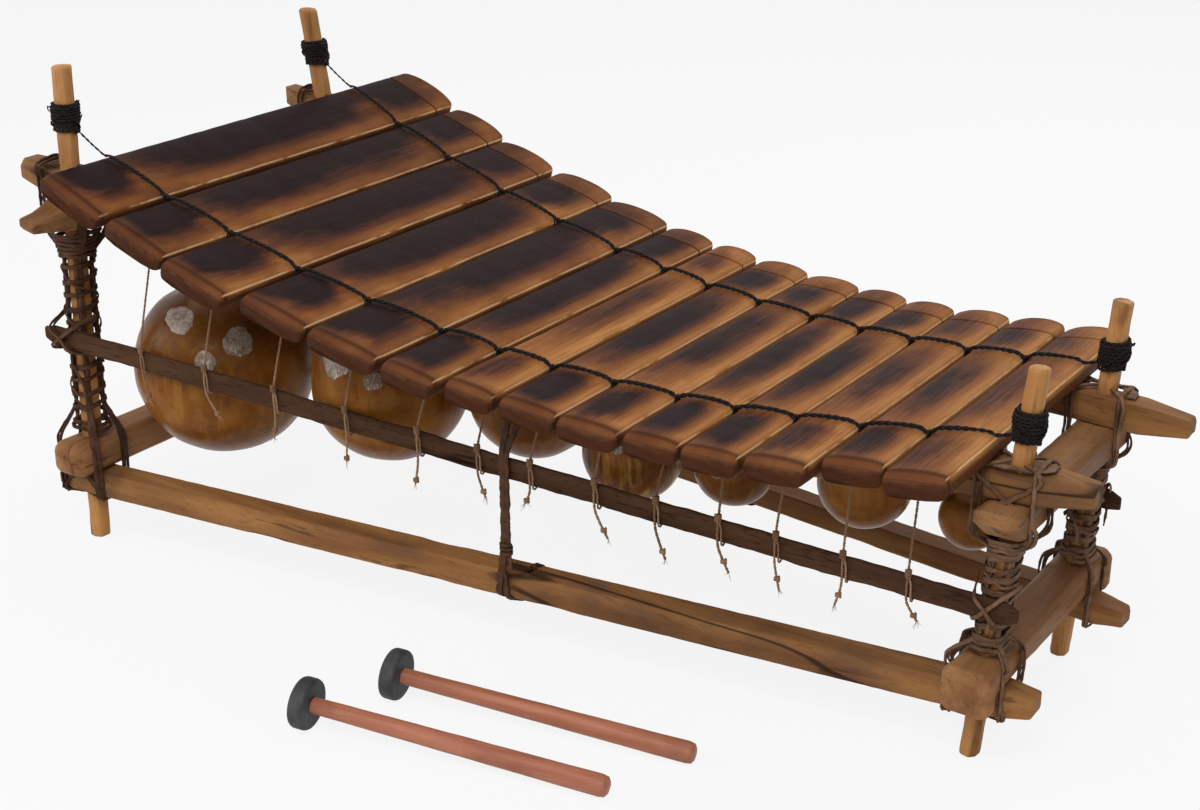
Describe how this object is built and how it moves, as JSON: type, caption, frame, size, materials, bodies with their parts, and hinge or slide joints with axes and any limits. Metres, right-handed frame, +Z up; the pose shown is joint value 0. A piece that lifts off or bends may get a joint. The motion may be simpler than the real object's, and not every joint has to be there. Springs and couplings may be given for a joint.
{
  "type": "balafon",
  "caption": "Wooden gourd-resonated xylophone with keys tied on a bowed pole frame and two rubber-headed mallets.",
  "frame": {"origin": "centre of the whole set's bounding box at floor level", "axes": "+X from the bass end to the treble end, +Y away from the player's near side, +Z up"},
  "size_m": [1.0622, 0.652, 0.4655],
  "materials": {
    "key_wood": "satin",
    "post_wood": "satin",
    "rail_wood": "matte",
    "strip_wood": "matte",
    "gourd_shell": "satin",
    "rawhide": "matte",
    "black_cord": "matte",
    "stick_wood": "satin",
    "rubber": "matte"
  },
  "bodies": {
    "instrument": {"key_01": "key_wood", "key_02": "key_wood", "key_03": "key_wood", "key_04": "key_wood", "key_05": "key_wood", "key_06": "key_wood", "key_07": "key_wood", "key_08": "key_wood", "key_09": "key_wood", "key_10": "key_wood", "key_11": "key_wood", "key_12": "key_wood", "key_13": "key_wood", "key_14": "key_wood", "gourd_01": "gourd_shell", "gourd_02": "gourd_shell", "gourd_03": "gourd_shell", "gourd_04": "gourd_shell", "gourd_05": "gourd_shell", "gourd_06": "gourd_shell", "gourd_07": "gourd_shell", "gourd_08": "gourd_shell", "gourd_09": "gourd_shell", "gourd_10": "gourd_shell", "gourd_11": "gourd_shell", "gourd_12": "gourd_shell", "gourd_13": "gourd_shell", "gourd_14": "gourd_shell", "post_bass_near": "post_wood", "lashing_bass_near": "rawhide", "winding_bass_near": "black_cord", "post_bass_far": "post_wood", "lashing_bass_far": "rawhide", "winding_bass_far": "black_cord", "post_treble_near": "post_wood", "lashing_treble_near": "rawhide", "winding_treble_near": "black_cord", "post_treble_far": "post_wood", "lashing_treble_far": "rawhide", "winding_treble_far": "black_cord", "upper_rail_near": "rail_wood", "lower_rail_near": "rail_wood", "strip_near": "strip_wood", "key_cord_near": "black_cord", "tie_near": "rawhide", "upper_rail_far": "rail_wood", "lower_rail_far": "rail_wood", "strip_far": "strip_wood", "key_cord_far": "black_cord", "tie_far": "rawhide", "upper_cross_bass": "rail_wood", "lower_cross_bass": "rail_wood", "upper_cross_treble": "rail_wood", "lower_cross_treble": "rail_wood"},
    "mallet_near": {"mallet_stick_near": "stick_wood", "mallet_head_near": "rubber"},
    "mallet_far": {"mallet_stick_far": "stick_wood", "mallet_head_far": "rubber"}
  },
  "joints": [
    {"name": "mallet_near_lift", "type": "slide", "parent": "instrument", "child": "mallet_near", "axis": [0, 0, 1], "range_m": [0, 0.3]},
    {"name": "mallet_far_lift", "type": "slide", "parent": "instrument", "child": "mallet_far", "axis": [0, 0, 1], "range_m": [0, 0.3]}
  ]
}
